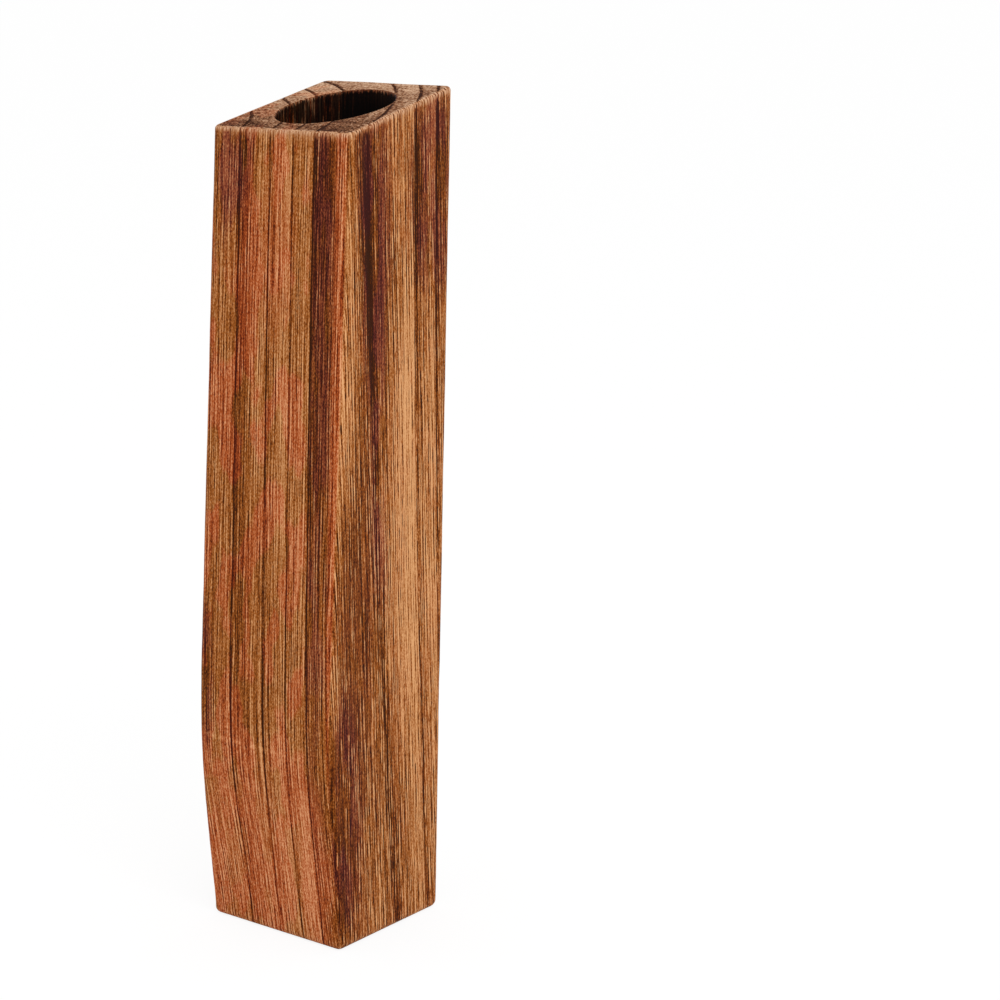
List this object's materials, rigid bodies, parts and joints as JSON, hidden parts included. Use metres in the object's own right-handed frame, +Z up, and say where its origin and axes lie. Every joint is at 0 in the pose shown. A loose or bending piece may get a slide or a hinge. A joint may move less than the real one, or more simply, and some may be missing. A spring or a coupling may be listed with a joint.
{
  "type": "test tube vase",
  "caption": "Slim solid timber block with a ridged front and a slanting top, bored from above to hold a lift-out round-bottomed glass test tube for flower stems and water.",
  "frame": {"origin": "middle of the flat base that the block stands on", "axes": "+Z up along the block and its bore, -Y out of the ridged front face, +X out of the right face"},
  "size_m": [0.0534, 0.0566, 0.2542],
  "materials": {
    "timber": "oiled, sanded",
    "tube_glass": "clear"
  },
  "bodies": {
    "block": {"wooden_body": "timber"},
    "tube": {"glass_tube": "tube_glass"}
  },
  "joints": [
    {"name": "tube_lift", "type": "slide", "parent": "block", "child": "tube", "axis": [0, 0, 1], "range_m": [0, 0.24]}
  ]
}
